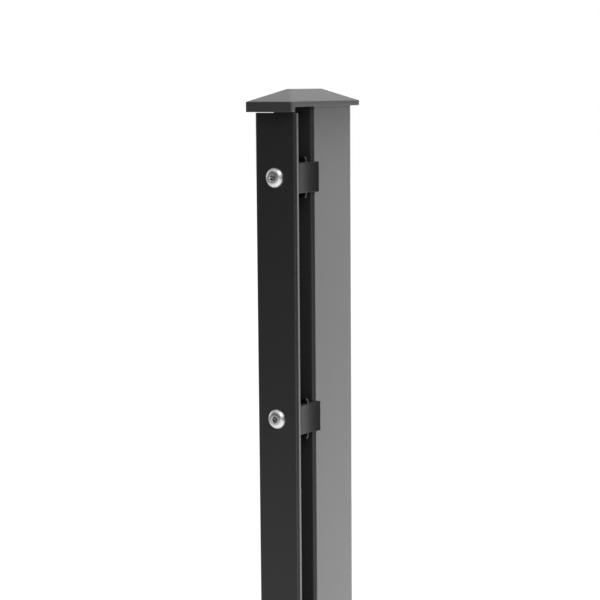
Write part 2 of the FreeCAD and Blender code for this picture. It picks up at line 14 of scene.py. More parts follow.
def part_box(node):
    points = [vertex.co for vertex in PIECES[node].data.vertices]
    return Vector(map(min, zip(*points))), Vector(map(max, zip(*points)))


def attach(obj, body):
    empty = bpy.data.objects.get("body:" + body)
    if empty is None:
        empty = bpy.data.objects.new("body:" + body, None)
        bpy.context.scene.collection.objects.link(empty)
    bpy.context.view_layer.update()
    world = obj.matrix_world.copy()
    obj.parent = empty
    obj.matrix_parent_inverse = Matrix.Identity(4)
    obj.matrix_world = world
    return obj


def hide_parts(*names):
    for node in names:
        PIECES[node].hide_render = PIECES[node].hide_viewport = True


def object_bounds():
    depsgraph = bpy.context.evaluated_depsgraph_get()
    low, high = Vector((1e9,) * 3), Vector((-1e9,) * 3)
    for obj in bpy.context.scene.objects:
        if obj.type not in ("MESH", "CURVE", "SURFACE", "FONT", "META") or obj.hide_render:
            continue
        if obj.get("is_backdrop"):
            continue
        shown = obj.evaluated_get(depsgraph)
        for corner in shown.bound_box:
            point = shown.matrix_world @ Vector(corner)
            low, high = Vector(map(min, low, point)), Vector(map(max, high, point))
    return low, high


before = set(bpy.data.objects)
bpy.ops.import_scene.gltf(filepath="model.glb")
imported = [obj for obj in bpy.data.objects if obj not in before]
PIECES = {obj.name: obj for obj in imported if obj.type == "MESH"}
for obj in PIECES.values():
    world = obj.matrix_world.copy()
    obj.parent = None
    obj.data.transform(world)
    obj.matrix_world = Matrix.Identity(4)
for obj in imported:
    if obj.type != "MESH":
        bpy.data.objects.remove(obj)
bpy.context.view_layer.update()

bl_info = {
    "name": "Mesh fence post",
    "version": (1, 0, 0),
    "blender": (4, 5, 0),
    "location": "3D View > Sidebar > Fence Post",
    "description": "Powder coat, moulded plastic and bright fixings for a mesh panel post",
    "category": "Object",
}

ROOT = "root"
MM = 0.001
TURN = 2 * math.pi
# The angle in degrees from which a turned piece's edge stays sharp.
SHARP_FROM = 35
DUST_COLOUR = (0.4, 0.39, 0.37)
# Where the room's parts lie, seen from the post.
BACKDROP_WAY = (-0.4, 0.9, 0.15)
LEFT_WALL_WAY = (-0.97, 0.2, 0.0)
CARD_WAY = (-0.56, -0.83, -0.05)
CEILING_WAY = (0.0, 0.0, 1.0)
# In millimetres, as the lens is.
SENSOR_WIDTH = 36.0
CLIPS = sorted(name for name in PIECES if name.startswith("spacer_clip"))
SCREWS = sorted(name for name in PIECES if name.startswith("clamp_screw"))
NUTS = sorted(name for name in PIECES if name.startswith("rivet_nut"))


def length(name, description, default):
    """A size in metres that the user may change."""
    return FloatProperty(name=name, description=description, default=default, min=0.0, precision=5, unit="LENGTH")


def share(name, description, default):
    """A plain number from 0 to 1."""
    return FloatProperty(name=name, description=description, default=default, min=0.0, max=1.0, subtype="FACTOR")


def paint(name, description, default):
    """A colour, in linear light."""
    return FloatVectorProperty(name=name, description=description, default=default, min=0.0, max=1.0, size=3,
                               subtype="COLOR")


def turn(name, description, degrees):
    """An angle, with its default given in degrees."""
    return FloatProperty(name=name, description=description, default=math.radians(degrees), subtype="ANGLE")


def plain(name, description, default):
    """A number without a unit."""
    return FloatProperty(name=name, description=description, default=default, min=0.0)


class FENCE_PG_coat(bpy.types.PropertyGroup):
    """Powder coat on the tube and the strip."""

    colour: paint("Coat colour", "Colour of the powder coat", (0.05, 0.05, 0.051))
    pale: paint("Thin coat colour", "Colour where the coat is thinnest", (0.058, 0.058, 0.059))
    roughness: share("Roughness", "Gloss of the coat, 0 for a mirror", 0.22)
    peel_size: length("Peel size", "Distance between two humps of the orange peel", 0.0016)
    peel_depth: length("Peel depth", "Height of the orange peel", 0.00004)
    grit_size: length("Grit size", "Distance between the finest grains", 0.0003)
    grit_depth: length("Grit depth", "Height of the finest grains", 0.000012)
    bore_colour: paint("Bore colour", "Galvanised steel inside the tube", (0.42, 0.43, 0.44))


class FENCE_PG_plastic(bpy.types.PropertyGroup):
    """Moulded plastic of the cap and the clips."""

    cap_colour: paint("Cap colour", "Colour of the roof cap", (0.08, 0.08, 0.081))
    clip_colour: paint("Clip colour", "Colour of the spacer clips", (0.014, 0.014, 0.0145))
    cap_roughness: share("Cap roughness", "Gloss of the cap, 0 for a mirror", 0.58)
    clip_roughness: share("Clip roughness", "Gloss of the clips, 0 for a mirror", 0.42)
    cap_shine: share("Cap shine", "How strongly the cap reflects, 0.5 for plain plastic", 0.5)
    clip_shine: share("Clip shine", "How strongly the clips reflect, 0.5 for plain plastic", 0.25)
    clip_grain: share("Clip grain", "Depth of the clips' grain as a share of the cap's", 0.6)
    grain_size: length("Grain size", "Distance between two grains of the mould", 0.0006)
    grain_depth: length("Grain depth", "Height of the grain", 0.00004)


class FENCE_PG_fixings(bpy.types.PropertyGroup):
    """Sizes and finish of the screws and the rivet nuts."""

    steel_colour: paint("Steel colour", "Stainless steel of the screws", (0.9, 0.89, 0.88))
    zinc_colour: paint("Zinc colour", "Zinc plate of the rivet nuts", (0.56, 0.57, 0.58))
    head: length("Head", "Outer size of the screw's head", 16.5 * MM)
    head_rim: length("Rim", "Straight edge of the screw's head", 1.1 * MM)
    head_flat: length("Crown", "Flat at the middle of the head", 7.0 * MM)
    edge_round: length("Edge", "Rounding of the head's rim", 0.5 * MM)
    socket: length("Socket", "Socket's width across its flats", 5.0 * MM)
    socket_depth: length("Socket depth", "Depth of the socket", 2.6 * MM)
    socket_chamfer: length("Socket chamfer", "Chamfer at the socket's mouth", 0.25 * MM)
    pin: length("Pin", "Pin that stands in the socket", 2.0 * MM)
    pin_drop: length("Pin drop", "How far the pin stops below the crown", 0.4 * MM)
    thread: length("Thread", "Outer size of the thread", 8.0 * MM)
    pitch: length("Pitch", "One turn of the thread", 1.25 * MM)
    thread_depth: length("Thread depth", "Crest to root", 0.68 * MM)
    neck: length("Neck", "Plain shank below the head", 6.0 * MM)
    tip_chamfer: length("Tip chamfer", "Chamfer at the screw's tip", 1.0 * MM)
    barrel: length("Barrel", "Outer size of a rivet nut's barrel", 11.0 * MM)
    flange: length("Flange", "Outer size of a rivet nut's flange", 14.0 * MM)
    bore: length("Bore", "Inner size of a rivet nut where its thread has its crests", 6.9 * MM)
    fold: length("Fold", "Radius of the bulge that grips the wall from inside", 1.8 * MM)
    grip: length("Grip", "Wall that a rivet nut grips", 2.0 * MM)
    ribs: IntProperty(name="Ribs", description="Ribs round a rivet nut's barrel", default=28, min=6, max=60)
    rib_depth: length("Rib depth", "Height of the ribs", 0.2 * MM)


class FENCE_PG_stage(bpy.types.PropertyGroup):
    """Camera and light."""

    azimuth: turn("Azimuth", "Camera's way round the post, from the strip's side", 33.884)
    distance: length("Distance", "Camera to the post's axis", 1.34844)
    height: length("Height", "Camera above the foot", 1.51524)
    pitch: turn("Pitch", "How far the camera looks down", 7.680)
    roll: turn("Roll", "Camera's lean", -0.450)
    yaw: turn("Yaw", "Camera's turn away from the axis", -0.489)
    lens: FloatProperty(name="Lens", description="Focal length in millimetres", default=96.0, min=1.0)
    back_light: plain("Back light", "Brightness of the low panel behind the post, on its right", 2.5)
    top_light: plain("Top light", "Brightness of the panel above the post, on its right", 3.1)
    sky_light: plain("Sky light", "Brightness of the panel above and behind the post, on its left", 1.8)
    front_light: plain("Front light", "Brightness of the panel above the camera, on its right", 1.6)
    fill_light: plain("Fill light", "Brightness of the panel below the camera", 0.65)
    room_light: share("Room light", "Brightness of the pale room behind the post, as matt surfaces see it", 0.4)
    left_wall: share("Left wall", "Brightness of the wall on the post's left, which its left edges reflect", 1.0)
    side_room: share("Side room", "Brightness of the rest of the room", 0.03)
    ceiling: share("Ceiling", "Brightness of the ceiling as glossy surfaces reflect it", 0.75)
    card: share("Card", "Brightness of the black card to the left of the camera", 0.02)
    shine: share("Floor shine", "Brightness of the floor near the post as glossy surfaces reflect it", 0.66)
    card_floor: share("Card floor", "What the black card leaves of the floor's shine beneath it", 0.68)


# Materials

def add(tree, kind, **inputs):
    """Add a shader node. Its inputs are given by name, with spaces written as underscores."""
    item = tree.nodes.new(kind)
    for name, value in inputs.items():
        item.inputs[name.replace("_", " ")].default_value = value
    return item


def calculate(tree, operation, first, second=None, third=None):
    """A Math node over sockets or plain numbers."""
    item = tree.nodes.new("ShaderNodeMath")
    item.operation = operation
    for place, value in enumerate((first, second, third)):
        if isinstance(value, bpy.types.NodeSocket):
            tree.links.new(value, item.inputs[place])
        elif value is not None:
            item.inputs[place].default_value = value
    return item.outputs[0]


def blend_colours(tree, mask, low, high):
    """Mix two colours, given as sockets or as plain colours, by a mask."""
    item = tree.nodes.new("ShaderNodeMix")
    item.data_type = "RGBA"
    tree.links.new(mask, item.inputs["Factor"])
    for place, value in ((6, low), (7, high)):
        if isinstance(value, bpy.types.NodeSocket):
            tree.links.new(value, item.inputs[place])
        else:
            item.inputs[place].default_value = (*value, 1.0)
    return item.outputs[2]


def scale_range(tree, value, low, high):
    """Move a value between 0 and 1 to the range between low and high."""
    return calculate(tree, "MULTIPLY_ADD", value, high - low, low)


def new_group(name, inputs, outputs):
    """An empty shader group with number inputs and the named outputs."""
    tree = bpy.data.node_groups.new(name, "ShaderNodeTree")
    for label, default in inputs.items():
        socket = tree.interface.new_socket(label, in_out="INPUT", socket_type="NodeSocketFloat")
        socket.default_value = default
    for label in outputs:
        tree.interface.new_socket(label, in_out="OUTPUT", socket_type="NodeSocketFloat")
    return tree, tree.nodes.new("NodeGroupInput"), tree.nodes.new("NodeGroupOutput")


def grain_group(title):
    """Two sizes of small humps, as in orange peel or a moulded grain."""
    tree, given, result = new_group(title, {"Humps per metre": 600.0, "Fine share": 0.3}, ("Height", "Mask"))
    place = tree.nodes.new("ShaderNodeTexCoord").outputs["Object"]
    coarse = add(tree, "ShaderNodeTexNoise", Detail=1.0, Roughness=0.4)
    fine = add(tree, "ShaderNodeTexNoise", Detail=1.0, Roughness=0.5)
    fine_scale = 5.3
    for noise in (coarse, fine):
        tree.links.new(place, noise.inputs["Vector"])
    tree.links.new(given.outputs["Humps per metre"], coarse.inputs["Scale"])
    tree.links.new(calculate(tree, "MULTIPLY", given.outputs["Humps per metre"], fine_scale), fine.inputs["Scale"])
    rest = calculate(tree, "SUBTRACT", 1.0, given.outputs["Fine share"])
    coarse_part = calculate(tree, "MULTIPLY", coarse.outputs["Fac"], rest)
    height = calculate(tree, "MULTIPLY_ADD", fine.outputs["Fac"], given.outputs["Fine share"], coarse_part)
    tree.links.new(height, result.inputs["Height"])
    tree.links.new(fine.outputs["Fac"], result.inputs["Mask"])
    return tree


def unevenness_group(title):
    """Broad, faint patches, such as a coat or a casting has, from 0 to 1."""
    tree, given, result = new_group(title, {"Patches per metre": 12.0, "Strength": 1.0}, ("Patches",))
    place = tree.nodes.new("ShaderNodeTexCoord").outputs["Object"]
    noise = add(tree, "ShaderNodeTexNoise", Detail=3.0, Roughness=0.55)
    tree.links.new(place, noise.inputs["Vector"])
    tree.links.new(given.outputs["Patches per metre"], noise.inputs["Scale"])
    centred = calculate(tree, "SUBTRACT", noise.outputs["Fac"], 0.5)
    spread = calculate(tree, "MULTIPLY", centred, given.outputs["Strength"])
    patches = calculate(tree, "ADD", spread, 0.5)
    tree.links.new(patches, result.inputs["Patches"])
    return tree


def dust_group(title):
    """A trace of dust on what faces up, from 0 to 1."""
    tree, given, result = new_group(title, {"Amount": 0.1, "Specks per metre": 900.0}, ("Dust",))
    facing = tree.nodes.new("ShaderNodeSeparateXYZ")
    tree.links.new(tree.nodes.new("ShaderNodeNewGeometry").outputs["Normal"], facing.inputs[0])
    level = calculate(tree, "POWER", calculate(tree, "MAXIMUM", facing.outputs["Z"], 0.0), 2.0)
    place = tree.nodes.new("ShaderNodeTexCoord").outputs["Object"]
    noise = add(tree, "ShaderNodeTexNoise", Detail=4.0, Roughness=0.7)
    tree.links.new(place, noise.inputs["Vector"])
    tree.links.new(given.outputs["Specks per metre"], noise.inputs["Scale"])
    amount = calculate(tree, "MULTIPLY", level, given.outputs["Amount"])
    dust = calculate(tree, "MULTIPLY", amount, noise.outputs["Fac"])
    tree.links.new(dust, result.inputs["Dust"])
    return tree


GROUPS = {"Surface grain": grain_group, "Unevenness": unevenness_group, "Settled dust": dust_group}


def use_group(tree, name, **inputs):
    """Place a shared group in a material with its own values. The first use builds it."""
    item = tree.nodes.new("ShaderNodeGroup")
    item.node_tree = bpy.data.node_groups.get(name) or GROUPS[name](name)
    for label, value in inputs.items():
        item.inputs[label.replace("_", " ")].default_value = value
    return item.outputs


def new_material(name, **shader):
    """A material with one Principled shader, whose constant inputs are given by name."""
    material = bpy.data.materials.new(name)
    material.use_nodes = True
    tree = material.node_tree
    principled = tree.nodes["Principled BSDF"]
    for label, value in shader.items():
        principled.inputs[label.replace("_", " ")].default_value = value
    return material, tree, principled


def raise_surface(tree, principled, *reliefs):
    """Stack bumps, each a height socket and its depth in metres, on the shader's normal."""
    normal = None
    for height, depth in reliefs:
        bump = add(tree, "ShaderNodeBump", Strength=1.0, Distance=depth)
        tree.links.new(height, bump.inputs["Height"])
        if normal:
            tree.links.new(normal, bump.inputs["Normal"])
        normal = bump.outputs["Normal"]
    tree.links.new(normal, principled.inputs["Normal"])


def inside_tube(tree):
    """1 on the tube's inner walls and 0 on its coated outside."""
    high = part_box("post_tube")[1]
    wall_middle = 1.0 * MM
    place = tree.nodes.new("ShaderNodeSeparateXYZ")
    tree.links.new(tree.nodes.new("ShaderNodeTexCoord").outputs["Object"], place.inputs[0])
    across = calculate(tree, "LESS_THAN", calculate(tree, "ABSOLUTE", place.outputs["X"]), high.x - wall_middle)
    along = calculate(tree, "LESS_THAN", calculate(tree, "ABSOLUTE", place.outputs["Y"]), high.y - wall_middle)
    return calculate(tree, "MULTIPLY", across, along)


def powder_coat(name, bare_inside):
    """Satin powder coat with orange peel. A tube stays galvanised inside."""
    smoother, rougher = 0.03, 0.05
    spangles_per_metre, spangle_low, spangle_swing = 160.0, 0.35, 0.5
    coat = bpy.context.scene.fence_coat
    material, tree, principled = new_material(name, IOR=1.5)
    patches = use_group(tree, "Unevenness", Patches_per_metre=9.0, Strength=0.9)["Patches"]
    grain = use_group(tree, "Surface grain", Humps_per_metre=1 / coat.peel_size, Fine_share=0.2)
    grit = use_group(tree, "Surface grain", Humps_per_metre=1 / coat.grit_size, Fine_share=0.5)
    dust = use_group(tree, "Settled dust", Amount=0.08)["Dust"]
    colour = blend_colours(tree, patches, coat.colour, coat.pale)
    colour = blend_colours(tree, dust, colour, DUST_COLOUR)
    roughness = scale_range(tree, patches, coat.roughness - smoother, coat.roughness + rougher)
    if bare_inside:
        inside = inside_tube(tree)
        spangle = add(tree, "ShaderNodeTexVoronoi", Scale=spangles_per_metre)
        tree.links.new(tree.nodes.new("ShaderNodeTexCoord").outputs["Object"], spangle.inputs["Vector"])
        flake = calculate(tree, "MULTIPLY_ADD", spangle.outputs["Distance"], spangle_swing, spangle_low)
        colour = blend_colours(tree, inside, colour, coat.bore_colour)
        change = calculate(tree, "SUBTRACT", flake, roughness)
        roughness = calculate(tree, "MULTIPLY_ADD", change, inside, roughness)
        tree.links.new(inside, principled.inputs["Metallic"])
    tree.links.new(colour, principled.inputs["Base Color"])
    tree.links.new(roughness, principled.inputs["Roughness"])
    raise_surface(tree, principled, (grain["Height"], coat.peel_depth), (grit["Height"], coat.grit_depth))
    return material


def moulded_plastic(name, colour, roughness, shine, grain_depth):
    """Matt plastic with the fine grain of its mould and a trace of flow in its colour."""
    flow_paler, roughness_swing = 1.15, 0.05
    plastic = bpy.context.scene.fence_plastic
    material, tree, principled = new_material(name, IOR=1.49, Specular_IOR_Level=shine)
    grain = use_group(tree, "Surface grain", Humps_per_metre=1 / plastic.grain_size, Fine_share=0.35)
    patches = use_group(tree, "Unevenness", Patches_per_metre=45.0, Strength=0.8)["Patches"]
    dust = use_group(tree, "Settled dust", Amount=0.1)["Dust"]
    paler = [min(1.0, channel * flow_paler) for channel in colour]
    tint = blend_colours(tree, patches, colour, paler)
    tint = blend_colours(tree, dust, tint, DUST_COLOUR)
    tree.links.new(tint, principled.inputs["Base Color"])
    rough = scale_range(tree, grain["Mask"], roughness - roughness_swing, roughness + roughness_swing)
    tree.links.new(rough, principled.inputs["Roughness"])
    raise_surface(tree, principled, (grain["Height"], grain_depth))
    return material


def turned_steel():
    """Stainless steel with the rings that a lathe or a heading die leaves round the axis, and painted shade in its
    socket.
    """
    rings_per_metre, ring_depth = 9000.0, 0.004 * MM
    # The second number darkens the steel inside the socket, as painted shade in the recess.
    patch_shade, painted_socket_shade = 0.93, 0.35
    smoothest, roughest = 0.3, 0.48
    # The socket's corners lie a little outside half its width across flats.
    socket_reach = 0.52
    fixings = bpy.context.scene.fence_fixings
    material, tree, principled = new_material("Turned stainless steel", Metallic=1.0)
    place = tree.nodes.new("ShaderNodeSeparateXYZ")
    tree.links.new(tree.nodes.new("ShaderNodeTexCoord").outputs["Object"], place.inputs[0])
    across = calculate(tree, "MULTIPLY", place.outputs["X"], place.outputs["X"])
    up = calculate(tree, "MULTIPLY", place.outputs["Z"], place.outputs["Z"])
    radius = calculate(tree, "SQRT", calculate(tree, "ADD", across, up))
    rings = add(tree, "ShaderNodeTexNoise", Scale=1.0, Detail=2.0)
    rings.noise_dimensions = "1D"
    tree.links.new(calculate(tree, "MULTIPLY", radius, rings_per_metre), rings.inputs["W"])
    patches = use_group(tree, "Unevenness", Patches_per_metre=260.0, Strength=1.0)["Patches"]
    darker = [channel * patch_shade for channel in fixings.steel_colour]
    colour = blend_colours(tree, patches, darker, fixings.steel_colour)
    # Painted shade: the steel within the socket's reach is darkened to stand in for the shade in the recess.
    in_socket = calculate(tree, "LESS_THAN", radius, fixings.socket * socket_reach)
    colour = blend_colours(tree, in_socket, colour, [channel * painted_socket_shade for channel in fixings.steel_colour])
    tree.links.new(colour, principled.inputs["Base Color"])
    tree.links.new(scale_range(tree, rings.outputs["Fac"], smoothest, roughest), principled.inputs["Roughness"])
    raise_surface(tree, principled, (rings.outputs["Fac"], ring_depth))
    return material


def zinc_plate():
    """Dull zinc plate, slightly mottled."""
    mottle_shade, grain_depth = 0.75, 0.006 * MM
    smoothest, roughest = 0.3, 0.45
    fixings = bpy.context.scene.fence_fixings
    material, tree, principled = new_material("Zinc plate", Metallic=1.0)
    patches = use_group(tree, "Unevenness", Patches_per_metre=300.0, Strength=1.2)["Patches"]
    grain = use_group(tree, "Surface grain", Humps_per_metre=3500.0, Fine_share=0.4)
    darker = [channel * mottle_shade for channel in fixings.zinc_colour]
    tree.links.new(blend_colours(tree, patches, darker, fixings.zinc_colour), principled.inputs["Base Color"])
    tree.links.new(scale_range(tree, patches, smoothest, roughest), principled.inputs["Roughness"])
    raise_surface(tree, principled, (grain["Height"], grain_depth))
    return material


def finish_node(name, material):
    """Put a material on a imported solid."""
    piece = PIECES[name]
    if not piece.material_slots:
        piece.data.materials.append(material)
    for slot in piece.material_slots:
        slot.material = material


# Turned pieces

def rings_to_mesh(name, rings, closed=False):
    """A mesh through rings of equal numbers of points.

    A closed one joins its last ring back to its first, as a pipe's wall does. The others have both ends filled
    to their middles.
    """
    count = len(rings[0])
    points = [point for ring in rings for point in ring]
    faces = []
    for row in range(len(rings) if closed else len(rings) - 1):
        start, following = row * count, ((row + 1) % len(rings)) * count
        for k in range(count):
            onward = (k + 1) % count
            faces.append((start + k, following + k, following + onward, start + onward))
    ends = () if closed else ((rings[0], 0), (rings[-1], (len(rings) - 1) * count))
    for ring, first in ends:
        hub = len(points)
        points.append(tuple(sum(values) / count for values in zip(*ring)))
        for k in range(count):
            onward = (k + 1) % count
            rim = (first + k, first + onward) if first == 0 else (first + onward, first + k)
            faces.append((hub, *rim))
    mesh = bpy.data.meshes.new(name)
    mesh.from_pydata(points, [], faces)
    mesh.validate()
    return mesh


def smooth_by_angle(mesh, degrees):
    """Shade a mesh smooth, apart from edges that turn by more than the angle."""
    for polygon in mesh.polygons:
        polygon.use_smooth = True
    mesh.set_sharp_from_angle(angle=math.radians(degrees))


def round_ring(radius, depth, count):
    """Points of a circle round the Y axis."""
    angles = [TURN * k / count for k in range(count)]
    return [(radius * math.cos(a), depth, radius * math.sin(a)) for a in angles]


def hexagon_ring(flat_radius, depth, count):
    """Points of a hexagon round the Y axis, with a flat every sixth of a turn."""
    sector = math.pi / 3
    points = []
    for k in range(count):
        angle = TURN * k / count
        radius = flat_radius / math.cos((angle % sector) - sector / 2)
        points.append((radius * math.cos(angle), depth, radius * math.sin(angle)))
    return points


def arc(centre, radius, start, stop, steps):
    """Points of a profile's arc as pairs of radius and depth, with angles in degrees."""
    angles = [math.radians(start + (stop - start) * k / steps) for k in range(steps + 1)]
    return [(centre[0] + radius * math.cos(a), centre[1] + radius * math.sin(a)) for a in angles]


def wavy_ring(low, high, waves, depth, count):
    """Points round the Y axis whose radius swings between two values."""
    ring = []
    for k in range(count):
        angle = TURN * k / count
        radius = low + (high - low) * (0.5 + 0.5 * math.cos(angle * waves))
        ring.append((radius * math.cos(angle), depth, radius * math.sin(angle)))
    return ring


def thread_rings(outer, pitch, groove, chamfer, start, tip, count):
    """Rings of a right-hand thread from its start, where it fades in, to its tip, where a chamfer may cut it."""
    rings_per_turn, crest_share, flank_share, turns_to_fade = 6, 0.12, 0.7, 1.5
    rows = int((tip - start) / pitch * rings_per_turn)
    fade = pitch * turns_to_fade
    rings = []
    for row in range(rows + 1):
        depth = start + (tip - start) * row / rows
        strength = min(1.0, (depth - start) / fade)
        limit = outer - chamfer + (tip - depth) if chamfer else outer
        ring = []
        for k in range(count):
            angle = TURN * k / count
            phase = (depth / pitch + k / count) % 1.0
            flank = min(1.0, max(0.0, (abs(phase - 0.5) * 2 - crest_share) / flank_share))
            radius = min(outer - groove * strength * flank, limit)
            ring.append((radius * math.cos(angle), depth, radius * math.sin(angle)))
        rings.append(ring)
    return rings


def screw_mesh(head_height, shank):
    """A dome-head screw round the Y axis: the strip's face is at 0, and the head stands on the -Y side."""
    fixings = bpy.context.scene.fence_fixings
    count, dome_steps, edge_steps = 48, 14, 3
    crown, flat = -head_height, fixings.head_flat / 2
    edge = fixings.edge_round
    floor = crown + fixings.socket_depth
    half_socket, pin = fixings.socket / 2, fixings.pin / 2
    chamfer = fixings.socket_chamfer
    head_radius = fixings.head / 2
    rise, run = head_height - fixings.head_rim, head_radius - flat
    dome = (run ** 2 + rise ** 2) / (2 * rise)
    dome_end = math.degrees(math.asin(run / dome))
    pin_top = crown + fixings.pin_drop

    rings = [round_ring(radius, depth, count) for radius, depth in (
        (pin - chamfer, pin_top), (pin, pin_top + chamfer), (pin, floor))]
    rings.append(hexagon_ring(half_socket, floor, count))
    rings.append(hexagon_ring(half_socket, crown + chamfer, count))
    rings.append(hexagon_ring(half_socket + chamfer, crown, count))
    profile = arc((flat, crown + dome), dome, -90, -90 + dome_end, dome_steps)
    profile[-1:] = arc((head_radius - edge, -fixings.head_rim + edge), edge, -30, 0, edge_steps)
    profile += arc((head_radius - edge, -edge), edge, 0, 90, edge_steps)
    profile.append((fixings.thread / 2, 0.0))
    profile.append((fixings.thread / 2, fixings.neck))
    rings += [round_ring(radius, depth, count) for radius, depth in profile]
    rings += thread_rings(fixings.thread / 2, fixings.pitch, fixings.thread_depth, fixings.tip_chamfer,
                          fixings.neck, shank, count)[1:]
    mesh = rings_to_mesh("clamp_screw", rings)
    smooth_by_angle(mesh, SHARP_FROM)
    return mesh


def nut_mesh(flange, bulge, total):
    """A set rivet nut round the Y axis: the tube's face is at 0, and the barrel runs to +Y.

    The outline runs over the flange, the bulge and the ribbed barrel, and back through the threaded bore.
    """
    fixings = bpy.context.scene.fence_fixings
    points_per_rib, fold_steps, rib_rows = 4, 10, 6
    count = fixings.ribs * points_per_rib
    barrel, bore, wide = fixings.barrel / 2, fixings.bore / 2, fixings.flange / 2
    edge, fold, grip, clearance = 0.3 * MM, fixings.fold, fixings.grip, 0.05 * MM
    mouth = fixings.thread / 2 + clearance

    outline = [(mouth, -flange), (wide - edge, -flange), (wide, -flange + edge), (wide, 0.0), (barrel, 0.0),
               (barrel, grip)]
    outline += arc((bulge - fold, grip + fold), fold, -90, 90, fold_steps)
    rings = [round_ring(radius, depth, count) for radius, depth in outline]
    low, high = grip + 2 * fold + edge, total - edge
    for row in range(rib_rows + 1):
        depth = low + (high - low) * row / rib_rows
        rings.append(wavy_ring(barrel - fixings.rib_depth, barrel, fixings.ribs, depth, count))
    rings += [round_ring(radius, depth, count) for radius, depth in ((barrel - edge, total), (mouth, total))]
    threaded = thread_rings(mouth, fixings.pitch, mouth - bore, 0.0, grip + 2 * fold, total - edge, count)
    mesh = rings_to_mesh("rivet_nut", rings + threaded[::-1], closed=True)
    smooth_by_angle(mesh, SHARP_FROM)
    return mesh


def place_copy(mesh, node, label, origin):
    """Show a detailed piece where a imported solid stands."""
    piece = bpy.data.objects.new(label, mesh)
    bpy.context.scene.collection.objects.link(piece)
    piece.location = origin
    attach(piece, ROOT)
    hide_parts(node)


# Operators

class FENCE_OT_coat_tube(bpy.types.Operator):
    """Coat the tube, and leave its bore galvanised"""

    bl_idname = "fence.coat_tube"
    bl_label = "Coat tube"

    def execute(self, context):
        finish_node("post_tube", powder_coat("Powder coat on tube", bare_inside=True))
        return {"FINISHED"}


class FENCE_OT_coat_strip(bpy.types.Operator):
    """Coat the cover strip"""

    bl_idname = "fence.coat_strip"
    bl_label = "Coat strip"

    def execute(self, context):
        finish_node("cover_strip", powder_coat("Powder coat on strip", bare_inside=False))
        return {"FINISHED"}


class FENCE_OT_mould_cap(bpy.types.Operator):
    """Give the roof cap its grained plastic"""

    bl_idname = "fence.mould_cap"
    bl_label = "Mould cap"

    def execute(self, context):
        plastic = context.scene.fence_plastic
        material = moulded_plastic("Cap plastic", plastic.cap_colour, plastic.cap_roughness, plastic.cap_shine,
                                   plastic.grain_depth)
        finish_node("post_cap", material)
        return {"FINISHED"}


class FENCE_OT_mould_clips(bpy.types.Operator):
    """Give the spacer clips their black plastic"""

    bl_idname = "fence.mould_clips"
    bl_label = "Mould clips"

    def execute(self, context):
        plastic = context.scene.fence_plastic
        material = moulded_plastic("Clip plastic", plastic.clip_colour, plastic.clip_roughness, plastic.clip_shine,
                                   plastic.grain_depth * plastic.clip_grain)
        for name in CLIPS:
            finish_node(name, material)
        return {"FINISHED"}


class FENCE_OT_turn_screws(bpy.types.Operator):
    """Cut the screws with their sockets and threads"""

    bl_idname = "fence.turn_screws"
    bl_label = "Turn screws"

    def execute(self, context):
        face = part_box("cover_strip")[0].y
        low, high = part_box(SCREWS[0])
        mesh = screw_mesh(face - low.y, high.y - face)
        mesh.materials.append(turned_steel())
        for name in SCREWS:
            low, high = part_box(name)
            origin = ((low.x + high.x) / 2, face, (low.z + high.z) / 2)
            place_copy(mesh, name, name.replace("clamp_screw", "dome_screw"), origin)
        return {"FINISHED"}


class FENCE_OT_set_nuts(bpy.types.Operator):
    """Set the rivet nuts in the tube's front wall"""

    bl_idname = "fence.set_nuts"
    bl_label = "Set rivet nuts"

    def execute(self, context):
        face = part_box("post_tube")[0].y
        low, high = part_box(NUTS[0])
        mesh = nut_mesh(face - low.y, (high.x - low.x) / 2, high.y - face)
        mesh.materials.append(zinc_plate())
        for name in NUTS:
            low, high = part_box(name)
            origin = ((low.x + high.x) / 2, face, (low.z + high.z) / 2)
            place_copy(mesh, name, name.replace("rivet_nut", "set_nut"), origin)
        return {"FINISHED"}


def add_panel_light(name, place, target, size, brightness):
    """A large soft panel that faces a point. Brightness 1 is as bright as white paper."""
    light = bpy.data.lights.new(name, "AREA")
    light.shape = "RECTANGLE"
    light.size, light.size_y = size
    light.energy = brightness * math.pi * size[0] * size[1]
    lamp = bpy.data.objects.new(name, light)
    bpy.context.scene.collection.objects.link(lamp)
    lamp.location = place
    lamp.rotation_euler = (Vector(target) - Vector(place)).to_track_quat("-Z", "Y").to_euler()
    lamp.visible_camera = False


def towards(tree, direction, low, high, coordinates="Generated"):
    """0 up to the low mark along a direction, rising smoothly to 1 at the high mark.

    The room's marks are shares from 0 to 1, and the floor's, with object coordinates, are metres.
    """
    place = tree.nodes.new("ShaderNodeTexCoord").outputs[coordinates]
    match = tree.nodes.new("ShaderNodeVectorMath")
    match.operation = "DOT_PRODUCT"
    tree.links.new(place, match.inputs[0])
    match.inputs[1].default_value = Vector(direction).normalized()
    rise = add(tree, "ShaderNodeMapRange", From_Min=low, From_Max=high)
    rise.interpolation_type = "SMOOTHSTEP"
    tree.links.new(match.outputs["Value"], rise.inputs["Value"])
    return rise.outputs[0]


